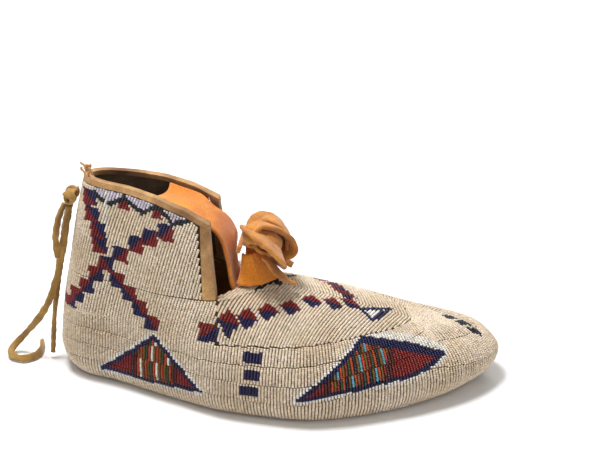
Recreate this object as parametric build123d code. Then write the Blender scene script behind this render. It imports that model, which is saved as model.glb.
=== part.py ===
from build123d import *
import os
import math
import numpy as np

# Beaded high-top moccasin, right foot. Millimetres, +Z up, toe towards +X, outer (lateral) side -Y.
# Origin: the middle of the bounding box of the shoe, on the ground.

# ---------------------------------------------------------------- driving dimensions
LENGTH = 260.0            # toe to heel
BEAD_T = 1.3              # thickness of the bead layer
HIDE_OUT = 2.1            # hide's outer face, measured in from the beads' outer face
HIDE_IN = 3.7             # hide's inner face, measured in from the beads' outer face
SOLE_BEAD_T = 1.5         # beads under the sole
SOLE_Z0, SOLE_Z1 = 1.8, 5.0   # rawhide sole
UPPER_Z0 = 5.3            # the upper starts here
LANES = [1.8, 14.0, 25.0, 35.0, 43.5]   # heights between the side lanes
VAMP_X = -24.0            # the vamp's beadwork starts here, the quarters' ends here
THROAT_Z = 66.0           # top of the foot part, base of the ankle flaps
GAP = 0.3
SOLE_FIELD_X = -14.0      # line between the heel field and the forefoot field of the sole
Y_SHIFT = 9.93            # puts the bounding box's middle on Y = 0

# plan outline of the widest level: x, outer edge, inner edge (before the shift)
OUTLINE = [(-130, 0, 0), (-125, -15.6, 16), (-115, -23.2, 24), (-100, -28, 28), (-60, -45.2, 33),
           (-20, -60.2, 36), (20, -64.4, 40), (40, -60.3, 42.5), (60, -52.4, 44), (80, -42.9, 44.5),
           (95, -33.5, 42.5), (108, -23.6, 38), (118, -13.1, 31.5), (126, -1.4, 23), (130, 12, 12)]
# ridge of the vamp: x, height
RIDGE = [(-34, 75), (-22, 70), (-11, 67.6), (2, 66.2), (30, 60), (58, 49.6), (80, 41), (100, 36),
         (115, 32.5), (124, 26), (130, 20)]
# back of the heel: height, x
BACK = [(0, -118), (6, -125), (15, -130), (40, -128), (70, -123), (100, -118), (125, -112.5), (140, -109)]
ZM = 18.0                 # height of the widest level
H_ANKLE = 147.0           # height at which the ankle walls would meet
X_PIVOT = -40.0
FLAP_OPEN_DEG = 20.0
TONGUE_UP_DEG = 75.0
TIE_TRAVEL = 30.0


def pchip(xs, ys, x):
    xs = np.asarray(xs, float)
    ys = np.asarray(ys, float)
    x = np.asarray(x, float)
    h = np.diff(xs)
    m = np.diff(ys) / h
    d = np.zeros_like(ys)
    for i in range(1, len(xs) - 1):
        if m[i - 1] * m[i] > 0:
            w1 = 2 * h[i] + h[i - 1]
            w2 = h[i] + 2 * h[i - 1]
            d[i] = (w1 + w2) / (w1 / m[i - 1] + w2 / m[i])
    d[0] = m[0]
    d[-1] = m[-1]
    xc = np.clip(x, xs[0], xs[-1])
    k = np.clip(np.searchsorted(xs, xc, side="right") - 1, 0, len(xs) - 2)
    t = (xc - xs[k]) / h[k]
    return ((2 * t**3 - 3 * t**2 + 1) * ys[k] + (t**3 - 2 * t**2 + t) * h[k] * d[k]
            + (-2 * t**3 + 3 * t**2) * ys[k + 1] + (t**3 - t**2) * h[k] * d[k + 1])


def smooth(t):
    t = np.clip(t, 0, 1)
    return t * t * (3 - 2 * t)


_O = np.array(OUTLINE, float)
_R = np.array(RIDGE, float)
_B = np.array(BACK, float)
_xs = -130 + 260 * (1 - np.cos(np.linspace(0, math.pi, 161))) / 2
_w = np.sqrt(np.maximum(pchip(_O[:, 0], ((_O[:, 2] - _O[:, 1]) / 2) ** 2, _xs), 0))
_c = pchip(_O[:, 0], (_O[:, 1] + _O[:, 2]) / 2, _xs) + Y_SHIFT


class Shape:
    """The shoe's body, inset by d from the beads' outer face."""

    def __init__(self, d):
        self.d = d
        # inset of the width curve about the centre line; both ends stay round
        g = np.gradient(_w, _xs)
        nn = np.sqrt(1 + g * g)
        ox, ow = _xs + d * g / nn, _w - d / nn
        ox[0], ow[0], ox[-1], ow[-1] = _xs[0] + d, 0, _xs[-1] - d, 0
        k = (ow >= 0) & (ox >= _xs[0] + d) & (ox <= _xs[-1] - d)
        ox, ow = ox[k], ow[k]
        k = np.concatenate([[True], np.diff(np.maximum.accumulate(ox)) > 1e-6])
        ox, ow = ox[k], ow[k]
        self.x0, self.x1 = float(ox[0]), float(ox[-1])
        self.xs, self.w, self.c = ox, ow, np.interp(ox, _xs, _c)
        rx = np.linspace(-34, 130, 400)
        rz = pchip(_R[:, 0], _R[:, 1], rx)
        g = np.gradient(rz, rx)
        nn = np.sqrt(1 + g * g)
        ox, oz = rx + d * g / nn, rz - d / nn
        k = ox < 130 - d
        self.rx = np.append(ox[k], 130 - d)
        self.rz = np.append(oz[k], min(oz[k][-1] - 0.2, 20))

    def back(self, z):
        return float(pchip(_B[:, 0], _B[:, 1], z)) + self.d

    def toe(self, z):
        if z <= self.rz[-1]:
            return self.x1
        return min(float(np.interp(-z, -self.rz, self.rx)), self.x1)

    def half(self, x, z):
        """half width and centre of the level z (from ZM to THROAT_Z) at x"""
        xb = self.back(z)
        xe = np.where(x < X_PIVOT, X_PIVOT + (x - X_PIVOT) * (self.x0 - X_PIVOT) / (xb - X_PIVOT), x)
        # map the width's square, so that the ends stay round
        w = np.sqrt(np.maximum(np.interp(xe, self.xs, self.w**2), 0))
        c = np.interp(xe, self.xs, self.c)
        u1 = np.clip((z - ZM) / (H_ANKLE - ZM), 0, 1)
        f1 = (1 - u1**1.4) ** (1 / 1.8)
        k = (38 * f1 - self.d) / ((38 - self.d) * f1)
        hv = np.maximum(np.interp(x, self.rx, self.rz), ZM + 0.01)
        f2 = (1 - np.clip((z - ZM) / (hv - ZM), 0, 1) ** 2.0) ** 0.5
        b = smooth((x + 75) / 70)
        f = np.where(x < -75, f1 * k, (1 - b) * f1 * k + b * np.minimum(f1 * k, f2))
        return w * f, c

    def loop(self, z, n=44):
        zz = min(max(z, ZM), THROAT_Z)
        xb, xt = self.back(zz), self.toe(zz)
        t = np.arange(n) * 2 * math.pi / n
        x = (xb + xt) / 2 + (xt - xb) / 2 * np.cos(t)
        w, c = self.half(x, zz)
        w[0] = 0
        w[n // 2] = 0
        p = np.column_stack([x, c + np.sign(np.round(np.sin(t), 9)) * w])
        if z < ZM:
            g = (1 - z / ZM) ** 2.2
            xx = p[:, 0]
            xn = np.where(xx < -60, xx + 9 * g * (-60 - xx) / (-60 - xb), xx)
            xn = np.where(xx > 60, xx - 17 * g * (xx - 60) / (xt - 60), xn)
            p = np.column_stack([xn, c + (p[:, 1] - c) * (1 - 0.15 * g)])
        if z > THROAT_Z:
            f = lambda q: (1 - ((q - ZM) / (H_ANKLE - ZM)) ** 1.4) ** (1 / 1.8)
            r = f(z) / f(THROAT_Z)
            r = (30 * r - self.d) / (30 - self.d)
            # heel leans forward with height
            xb2 = self.back(z)
            xf = xt
            xn = xf + (p[:, 0] - xf) * (xb2 - xf) / (xb - xf)
            cl = np.interp(xn, [xb2, X_PIVOT, 130], [float(c[n // 2]), float(np.interp(X_PIVOT, self.xs, self.c)), 0])
            cc = c
            p = np.column_stack([xn, cc + (p[:, 1] - cc) * r])
        return p


def level_wire(s, z, n=48, parts=4):
    p = s.loop(z, n)
    m = n // parts
    es = []
    for k in range(parts):
        idx = [(k * m + i) % n for i in range(m + 1)]
        pts = [Vector(float(p[i, 0]), float(p[i, 1]), float(z)) for i in idx]
        es.append(Edge.make_spline(pts, parameters=[i / m for i in range(m + 1)]))
    return Wire(es)


def level_loft(s, zs, n=48):
    return Solid.make_loft([level_wire(s, z, n) for z in zs], ruled=True)


def slab(z0, z1):
    return Pos(0, 0, (z0 + z1) / 2) * Box(400, 300, z1 - z0)


def side_prism(poly, y0, y1):
    """prism along Y of a polygon in X, Z"""
    f = Plane.XZ * Polygon(*poly, align=None)
    a = extrude(f, amount=-(y1 - y0))
    bb = a.bounding_box()
    return Pos(0, y0 - bb.min.Y, 0) * a


out = {}


def solids(x):
    if isinstance(x, Solid):
        return [x]
    if hasattr(x, "solids"):
        return list(x.solids())
    return [s for y in x for s in solids(y)]


def keep(name, shape, biggest=False, min_vol=1.0):
    ss = [q for q in solids(shape) if q.volume > min_vol]
    if biggest:
        ss = [max(ss, key=lambda s: s.volume)]
    out[name] = ss[0] if len(ss) == 1 else Compound(children=ss)


# ---------------------------------------------------------------- foot part
Z_LOW = [0, 1.5, 4, 8, 13, 18, 24, 30, 36, 42, 48, 54, 60, 66]
S0, S1, S2, S3 = Shape(0), Shape(BEAD_T), Shape(HIDE_OUT), Shape(HIDE_IN)
A0 = level_loft(S0, Z_LOW)
A1 = level_loft(S1, Z_LOW)
A2 = level_loft(S2, Z_LOW)
A3 = level_loft(S3, Z_LOW)
print("A volumes", [round(a.volume) for a in (A0, A1, A2, A3)], [a.is_valid for a in (A0, A1, A2, A3)])
bb = A0.bounding_box()
print("outer box", bb.min, bb.max)

keep("sole_rawhide", A2 & slab(SOLE_Z0, SOLE_Z1))
sole_cover = A2 & slab(0, SOLE_BEAD_T)
keep("sole_beadwork_heel", sole_cover & Pos(-200 + SOLE_FIELD_X - GAP / 2, 0, 0) * Box(400, 300, 60))
keep("sole_beadwork_forefoot", sole_cover & Pos(200 + SOLE_FIELD_X + GAP / 2, 0, 0) * Box(400, 300, 60))
upper = (A2 & slab(UPPER_Z0, THROAT_Z - 0.1)) - A3
keep("upper_hide", upper, biggest=True)
RAND_A, RAND_B = Shape(HIDE_IN + 0.8), Shape(HIDE_IN + 4.8)
rand = (level_loft(RAND_A, Z_LOW[:6]) - level_loft(RAND_B, Z_LOW[:6])) & slab(SOLE_Z1 + 0.3, SOLE_Z1 + 1.7)
keep("sole_seam_rand", rand, biggest=True)

skin = A0 - A1
for i, name in enumerate(["edge_lane_beadwork", "side_lane_1_beadwork", "side_lane_2_beadwork", "side_lane_3_beadwork"]):
    keep(name, skin & slab(LANES[i] + GAP / 2, LANES[i + 1] - GAP / 2), biggest=True)
top_skin = skin & slab(LANES[4] + GAP / 2, THROAT_Z - 0.1)
keep("vamp_beadwork", top_skin & Pos(200 + VAMP_X + GAP / 2, 0, 0) * Box(400, 300, 300), biggest=True)
back_skin = top_skin & Pos(-200 + VAMP_X - GAP / 2, 0, 0) * Box(400, 300, 300)
WELT_HALF = 2.2
side = {}
side["lateral"] = Pos(0, -200 - WELT_HALF - GAP + Y_SHIFT, 0) * Box(600, 400, 400)
side["medial"] = Pos(0, 200 + WELT_HALF + GAP + Y_SHIFT, 0) * Box(600, 400, 400)
for k in ("lateral", "medial"):
    keep("quarter_beadwork_" + k, back_skin & side[k], biggest=True)

# ---------------------------------------------------------------- ankle part
Z_HIGH = [66, 74, 82, 90, 98, 106, 114, 122, 130]
B0 = level_loft(S0, Z_HIGH)
B1 = level_loft(S1, Z_HIGH)
B2 = level_loft(S2, Z_HIGH)
B3 = level_loft(S3, Z_HIGH)
S4, S5 = Shape(0.3), Shape(4.6)
B4 = level_loft(S4, Z_HIGH)
B5 = level_loft(S5, Z_HIGH)
print("B valid", [a.is_valid for a in (B0, B1, B2, B3, B4, B5)])
ZB = THROAT_Z + 0.3        # the flaps' base
X_FRONT0, X_FRONT1 = -31.0, -35.0     # the flaps' front edge, at the base and at the rim
RIM_H = 3.2                # height of the rolled binding
# top edge of the flaps in side view: x, height
RIM = [(-111.0, 124.0), (-85.0, 121.8), (-67.0, 119.6), (-50.0, 115.5), (-35.0, 109.5)]
STRIP_W = 7.0              # width of the unbeaded front strip


def ankle_prism(z_lo, drop_hi, x_back_off):
    """side view of the ankle, cut down by drop_hi from the rim, its front edge moved back"""
    def rim(x):
        return float(np.interp(x, [q[0] for q in RIM], [q[1] for q in RIM]))
    xb = -140.0
    xf0, xf1 = X_FRONT0 - x_back_off, X_FRONT1 - x_back_off
    top = [(x, z - drop_hi) for x, z in RIM[::-1] if x < xf1 - 1]
    return side_prism([(xb, z_lo), (xf0, z_lo), (xf1, rim(xf1) - drop_hi)] + top
                      + [(xb, RIM[0][1] - drop_hi + 2)], -100, 100)


body_cut = ankle_prism(ZB, RIM_H + 0.2, STRIP_W + 0.3)
strip_cut = ankle_prism(ZB, RIM_H + 0.2, 0) - ankle_prism(ZB - 5, -20, STRIP_W)
rim_cut = ankle_prism(ZB, 0, 0) - ankle_prism(ZB - 5, RIM_H, -30)
welt_zone = Pos(-100, Y_SHIFT, 100) * Box(100, 2 * WELT_HALF, 400)
for k in ("lateral", "medial"):
    keep("ankle_beadwork_" + k, ((B0 - B1) & body_cut) & side[k], biggest=True)
    keep("ankle_flap_hide_" + k, ((B2 - B3) & body_cut) & side[k], biggest=True)
    keep("front_binding_" + k, ((B4 - B5) & strip_cut) & side[k], biggest=True)
    keep("top_binding_" + k, ((B4 - B5) & rim_cut) & side[k], biggest=True)
welt_low = (A0 - A1) & slab(LANES[4] + GAP, THROAT_Z) & welt_zone
welt_high = ((B0 - B3) & ankle_prism(THROAT_Z, 0, 0)) & welt_zone
welt = [max(solids(welt_low), key=lambda q: q.volume), max(solids(welt_high), key=lambda q: q.volume)]
w = welt[0] + welt[1]
keep("heel_seam_welt", w)

# ---------------------------------------------------------------- tongue
def sheet(pts, width0, width1, t, yc):
    """a bent strip: a side profile thickened by t, its width running from width0 to width1"""
    p = [np.array(q, float) for q in pts]
    L, R = [], []
    for i, q in enumerate(p):
        d = p[min(i + 1, len(p) - 1)] - p[max(i - 1, 0)]
        d = d / np.linalg.norm(d)
        n = np.array([-d[1], d[0]])
        L.append(q + n * t / 2)
        R.append(q - n * t / 2)
    poly = [tuple(map(float, q)) for q in L + R[::-1]]
    w = max(width0, width1)
    return side_prism(poly, yc - w / 2, yc + w / 2)


TY = 0.0                  # middle of the throat
TONGUE_T = 2.4
tb_pts = [(6, 47.5), (-4, 50.2), (-13, 53.8), (-21.2, 59.4), (-25.0, 68.5), (-25.5, 79), (-25.8, 86), (-26.0, 90.3)]
tongue_base = sheet(tb_pts, 26, 26, TONGUE_T, TY)
keep("tongue_base", tongue_base, biggest=True)
TONGUE_AX = (-27.5, 94.6)
tf_pts = [(-27.0, 93.2), (-30.5, 99.5), (-36.5, 104.0), (-46, 107.5), (-58, 110.0), (-68, 112.0)]
TONGUE_TURN = 9.6         # the tongue's folded top follows the opening, which runs back and inwards
tongue_flap = sheet(tf_pts, 23.6, 23.6, TONGUE_T, 0)
tongue_flap = Pos(TONGUE_AX[0], TY, 0) * Rot(0, 0, -TONGUE_TURN) * Pos(-TONGUE_AX[0], 0, 0) * tongue_flap
keep("tongue_flap", tongue_flap, biggest=True)

# ---------------------------------------------------------------- tie
KNOT = (-9.5, TY, 93.0)
knot = Pos(*KNOT) * (Rot(0, 20, 0) * Box(15, 30, 13))
knot = fillet(knot.edges(), 5.5)
keep("tie_knot", knot)
end1 = side_prism([(-8, 85.2), (-4.5, 86.6), (4, 75.5), (14, 71.2), (13.2, 68.9), (2.5, 72.6)], TY - 14, TY - 7)
end2 = side_prism([(-8, 85.2), (-4.5, 86.6), (2, 77.5), (9, 72.4), (8.2, 70.4), (0.5, 74.6)], TY + 6, TY + 13)
keep("tie_end_lateral", end1)
keep("tie_end_medial", end2)
band = Pos(-19.6, TY, 91.0) * (Rot(0, 20, 0) * Box(2.6, 27, 5))
band = fillet(band.edges(), 1.0)
keep("tie_band", band)

# ---------------------------------------------------------------- heel thongs
THONG_D = 4.2


def thong(pts, name, d=THONG_D):
    p = [np.array(q, float) for q in pts]
    runs = [float(np.linalg.norm(p[i + 1] - p[i])) for i in range(len(p) - 1)]
    radii = []
    for i in range(1, len(p) - 1):
        a, b = p[i] - p[i - 1], p[i + 1] - p[i]
        turn = math.acos(max(-1, min(1, float(a @ b) / (np.linalg.norm(a) * np.linalg.norm(b)))))
        radii.append(0.45 * min(runs[i - 1], runs[i]) / math.tan(turn / 2))
    path = FilletPolyline(*[tuple(map(float, q)) for q in p], radius=radii)
    t0 = (p[1] - p[0]) / np.linalg.norm(p[1] - p[0])
    pl = Plane(origin=tuple(map(float, p[0])), z_dir=tuple(map(float, t0)))
    tube = sweep(pl * Circle(d / 2), path=path)
    vol = tube.volume
    want = math.pi * d * d / 4 * path.length
    print(name, "length %.1f" % path.length, "runs", [round(r, 1) for r in runs], "radii", [round(r, 1) for r in radii],
          "volume %.0f of %.0f" % (vol, want), "low %.2f" % tube.bounding_box().min.Z)
    keep(name, tube)
    return path.length


HK = (-121.9, 11.5, 108.5)      # the knot of the heel thongs
LONG = [(-122.5, 8.6, 102.9), (-124.4, 7.6, 92), (-126.6, 8.2, 79), (-129.2, 9.2, 66), (-132.4, 9.4, 53),
        (-136.6, 8.8, 40.5), (-142.6, 9.4, 29.0), (-150.0, 12.4, 18.5), (-157.5, 15.5, 8.6), (-163.0, 12.5, 3.0),
        (-161.8, 4.4, 2.5), (-153.4, 1.0, 2.4), (-146.0, 6.6, 2.3), (-144.6, 16.6, 2.4), (-147.0, 25.0, 2.5)]
STRAIGHT = [(-122.9, 14.6, 102.7), (-126.0, 16.5, 92), (-128.6, 17.6, 79), (-131.0, 17.4, 66), (-133.0, 16.8, 53),
            (-134.4, 15.2, 40), (-135.6, 12.6, 27), (-136.2, 10.4, 15), (-136.8, 9.4, 4.0)]
SHORT = [(-125.9, 11.4, 102.9), (-129.2, 8.8, 95.2), (-130.6, 5.2, 87.0), (-130.0, 2.2, 79.0), (-128.8, 0.4, 72.6)]
thong(LONG, "heel_thong_long")
thong(STRAIGHT, "heel_thong_straight")
thong(SHORT, "heel_thong_short")
hk = Pos(*HK) * Box(8.4, 12, 10)
hk = fillet(hk.edges(), 2.0)
keep("heel_thong_knot", hk)

# ---------------------------------------------------------------- write
os.makedirs("parts", exist_ok=True)
for f in os.listdir("parts"):
    if f.endswith(".step"):
        os.remove(os.path.join("parts", f))
lo, hi = np.full(3, 1e9), np.full(3, -1e9)
for name, shape in out.items():
    shape.label = name
    export_step(shape, "parts/%s.step" % name)
    if not name.startswith("heel_thong"):
        b = shape.bounding_box()
        lo = np.minimum(lo, [b.min.X, b.min.Y, b.min.Z])
        hi = np.maximum(hi, [b.max.X, b.max.Y, b.max.Z])
print("box without thongs", lo.round(3), hi.round(3), "middle", ((lo + hi) / 2).round(3))
print(len(out), "nodes")
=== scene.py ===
import math
import bpy
import numpy as np
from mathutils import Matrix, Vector
from mathutils.bvhtree import BVHTree


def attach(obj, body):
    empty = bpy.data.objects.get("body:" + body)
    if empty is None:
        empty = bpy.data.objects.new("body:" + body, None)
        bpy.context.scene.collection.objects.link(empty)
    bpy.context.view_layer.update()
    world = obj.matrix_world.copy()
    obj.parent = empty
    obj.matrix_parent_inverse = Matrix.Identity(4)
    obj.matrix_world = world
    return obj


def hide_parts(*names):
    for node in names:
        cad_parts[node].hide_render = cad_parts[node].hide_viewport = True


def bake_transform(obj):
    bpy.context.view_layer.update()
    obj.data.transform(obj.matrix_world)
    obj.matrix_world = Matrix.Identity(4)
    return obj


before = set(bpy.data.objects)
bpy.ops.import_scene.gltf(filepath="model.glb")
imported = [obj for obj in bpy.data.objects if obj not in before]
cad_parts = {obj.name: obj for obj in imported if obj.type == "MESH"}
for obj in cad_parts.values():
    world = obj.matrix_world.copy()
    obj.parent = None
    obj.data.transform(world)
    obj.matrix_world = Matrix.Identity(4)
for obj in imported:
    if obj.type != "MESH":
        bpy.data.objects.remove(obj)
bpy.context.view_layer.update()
MM = 0.001
rng = np.random.default_rng(7)

# ------------------------------------------------------------------ camera
AZ, EL, DIST = math.radians(7.55), math.radians(28.28), 1.4
back = Vector((math.sin(AZ) * math.cos(EL), -math.cos(AZ) * math.cos(EL), math.sin(EL)))
right = Vector((math.cos(AZ), math.sin(AZ), 0))
up = back.cross(right)
cam_pos = Vector((0, 0.00993, 0.040)) + back * DIST
look = (right * (22.25 / 2374) + up * (85.5 / 2374) - back).normalized()
cam_data = bpy.data.cameras.new("cam")
cam_data.lens = 142.4
cam_data.sensor_width = 36.0
cam_data.clip_end = 20
cam = bpy.data.objects.new("cam", cam_data)
bpy.context.scene.collection.objects.link(cam)
cam.location = cam_pos
cam.rotation_euler = look.to_track_quat("-Z", "Y").to_euler()
bpy.context.scene.camera = cam


# ------------------------------------------------------------------ heel thongs: centre lines first
ROUTES = {
    "heel_thong_long": [(-122.5, 8.6, 102.9), (-124.4, 7.6, 92), (-126.6, 8.2, 79), (-129.2, 9.2, 66), (-132.4, 9.4, 53),
                        (-136.6, 8.8, 40.5), (-142.6, 9.4, 29.0), (-150.0, 12.4, 18.5), (-157.5, 15.5, 8.6),
                        (-163.0, 12.5, 3.0), (-161.8, 4.4, 2.5), (-153.4, 1.0, 2.4), (-146.0, 6.6, 2.3),
                        (-144.6, 16.6, 2.4), (-147.0, 25.0, 2.5)],
    "heel_thong_straight": [(-122.9, 14.6, 102.7), (-126.0, 16.5, 92), (-128.6, 17.6, 79), (-131.0, 17.4, 66),
                            (-133.0, 16.8, 53), (-134.4, 15.2, 40), (-135.6, 12.6, 27), (-136.2, 10.4, 15),
                            (-136.8, 9.4, 4.0)],
    "heel_thong_short": [(-125.9, 11.4, 102.9), (-129.2, 8.8, 95.2), (-130.6, 5.2, 87.0), (-130.0, 2.2, 79.0),
                         (-128.8, 0.4, 72.6)],
}


def centre_line(name, pts):
    """the route as a curve; returns points read from it, in millimetres"""
    cu = bpy.data.curves.new(name + "_line", "CURVE")
    cu.dimensions = "3D"
    sp = cu.splines.new("NURBS")
    sp.points.add(len(pts) - 1)
    for q, p in zip(sp.points, pts):
        q.co = (p[0] * MM, p[1] * MM, p[2] * MM, 1)
    sp.order_u = 3
    sp.use_endpoint_u = True
    sp.resolution_u = 12
    ob = bpy.data.objects.new(name + "_line", cu)
    bpy.context.scene.collection.objects.link(ob)
    bpy.context.view_layer.update()
    me = bpy.data.meshes.new_from_object(ob)
    line = np.array([v.co[:] for v in me.vertices]) / MM
    bpy.data.meshes.remove(me)
    bpy.data.objects.remove(ob)
    bpy.data.curves.remove(cu)
    return line


LINES = {k: centre_line(k, v) for k, v in ROUTES.items()}


def arc(p):
    return np.concatenate([[0], np.cumsum(np.linalg.norm(np.diff(p, axis=0), axis=1))])


def at(p, a, s):
    return np.stack([np.interp(s, a, p[:, k]) for k in range(p.shape[1])], -1)


def strip(path, width, thick, twist=lambda t: 0 * t, first=(0, 1, 0), step=1.0, rough=0.12, taper=(1.0, 1.0), seed=1,
          closed=False, floor=None):
    """closed mesh of a flat strip of hide along a path; width and thick may be functions of t from 0 to 1"""
    r = np.random.default_rng(seed)
    a = arc(path)
    n = max(8, int(a[-1] / step))
    t = np.linspace(0, 1, n + 1)
    c = at(path, a, t * a[-1])
    tan = np.gradient(c, axis=0)
    tan /= np.linalg.norm(tan, axis=1)[:, None]
    side = np.zeros_like(c)
    v = np.array(first, float)
    for i in range(n + 1):
        v = v - tan[i] * (v @ tan[i])
        v /= np.linalg.norm(v)
        side[i] = v
    nor = np.cross(tan, side)
    w = width(t) if callable(width) else np.full(n + 1, float(width))
    h = thick(t) if callable(thick) else np.full(n + 1, float(thick))
    tw = twist(t)
    M = 14
    ph = np.arange(M) * 2 * math.pi / M
    cs = np.sign(np.cos(ph)) * np.abs(np.cos(ph)) ** 0.75
    sn = np.sign(np.sin(ph)) * np.abs(np.sin(ph)) ** 0.6
    wob = np.zeros((n + 1, M))
    for k in range(5):
        f = r.uniform(2, 22) * a[-1] / 100
        wob += rough * np.sin(2 * math.pi * (f * t[:, None] + r.uniform(0, 1)) + r.integers(0, 3) * ph[None, :]) / (1 + 0.5 * k)
    cup = 0.10 * np.cos(ph)[None, :] ** 2 * (w[:, None] / 2)
    u = (w[:, None] / 2 + wob * 0.8) * cs[None, :]
    q = (h[:, None] / 2 + wob * 0.35) * sn[None, :] + cup
    ca, sa = np.cos(tw)[:, None], np.sin(tw)[:, None]
    P = c[:, None, :] + side[:, None, :] * (u * ca - q * sa)[:, :, None] + nor[:, None, :] * (u * sa + q * ca)[:, :, None]
    if floor is not None:
        P[:, :, 2] = np.maximum(P[:, :, 2], floor)
    V = P.reshape(-1, 3).tolist()
    F = []
    for i in range(n):
        for j in range(M):
            k = (j + 1) % M
            F.append((i * M + j, i * M + k, (i + 1) * M + k, (i + 1) * M + j))
    F.append(tuple(range(M))[::-1])
    F.append(tuple(n * M + j for j in range(M)))
    return V, F

# ------------------------------------------------------------------ the shoe's surface, in millimetres (same rules as the CAD)
# plan outline of the widest level: x, outer edge, inner edge (before the shift)
OUTLINE = [(-130, 0, 0), (-125, -15.6, 16), (-115, -23.2, 24), (-100, -28, 28), (-60, -45.2, 33),
           (-20, -60.2, 36), (20, -64.4, 40), (40, -60.3, 42.5), (60, -52.4, 44), (80, -42.9, 44.5),
           (95, -33.5, 42.5), (108, -23.6, 38), (118, -13.1, 31.5), (126, -1.4, 23), (130, 12, 12)]
# ridge of the vamp: x, height
RIDGE = [(-34, 75), (-22, 70), (-11, 67.6), (2, 66.2), (30, 60), (58, 49.6), (80, 41), (100, 36),
         (115, 32.5), (124, 26), (130, 20)]
# back of the heel: height, x
BACK = [(0, -118), (6, -125), (15, -130), (40, -128), (70, -123), (100, -118), (125, -112.5), (140, -109)]
ZM = 18.0                 # height of the widest level
H_ANKLE = 147.0           # height at which the ankle walls would meet
X_PIVOT = -40.0
THROAT_Z = 66.0
Y_SHIFT = 9.93


def pchip(xs, ys, x):
    xs = np.asarray(xs, float)
    ys = np.asarray(ys, float)
    x = np.asarray(x, float)
    h = np.diff(xs)
    m = np.diff(ys) / h
    d = np.zeros_like(ys)
    for i in range(1, len(xs) - 1):
        if m[i - 1] * m[i] > 0:
            w1 = 2 * h[i] + h[i - 1]
            w2 = h[i] + 2 * h[i - 1]
            d[i] = (w1 + w2) / (w1 / m[i - 1] + w2 / m[i])
    d[0] = m[0]
    d[-1] = m[-1]
    xc = np.clip(x, xs[0], xs[-1])
    k = np.clip(np.searchsorted(xs, xc, side="right") - 1, 0, len(xs) - 2)
    t = (xc - xs[k]) / h[k]
    return ((2 * t**3 - 3 * t**2 + 1) * ys[k] + (t**3 - 2 * t**2 + t) * h[k] * d[k]
            + (-2 * t**3 + 3 * t**2) * ys[k + 1] + (t**3 - t**2) * h[k] * d[k + 1])


def smooth(t):
    t = np.clip(t, 0, 1)
    return t * t * (3 - 2 * t)


_O = np.array(OUTLINE, float)
_R = np.array(RIDGE, float)
_B = np.array(BACK, float)
_xs = -130 + 260 * (1 - np.cos(np.linspace(0, math.pi, 161))) / 2
_w = np.sqrt(np.maximum(pchip(_O[:, 0], ((_O[:, 2] - _O[:, 1]) / 2) ** 2, _xs), 0))
_c = pchip(_O[:, 0], (_O[:, 1] + _O[:, 2]) / 2, _xs) + Y_SHIFT


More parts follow.
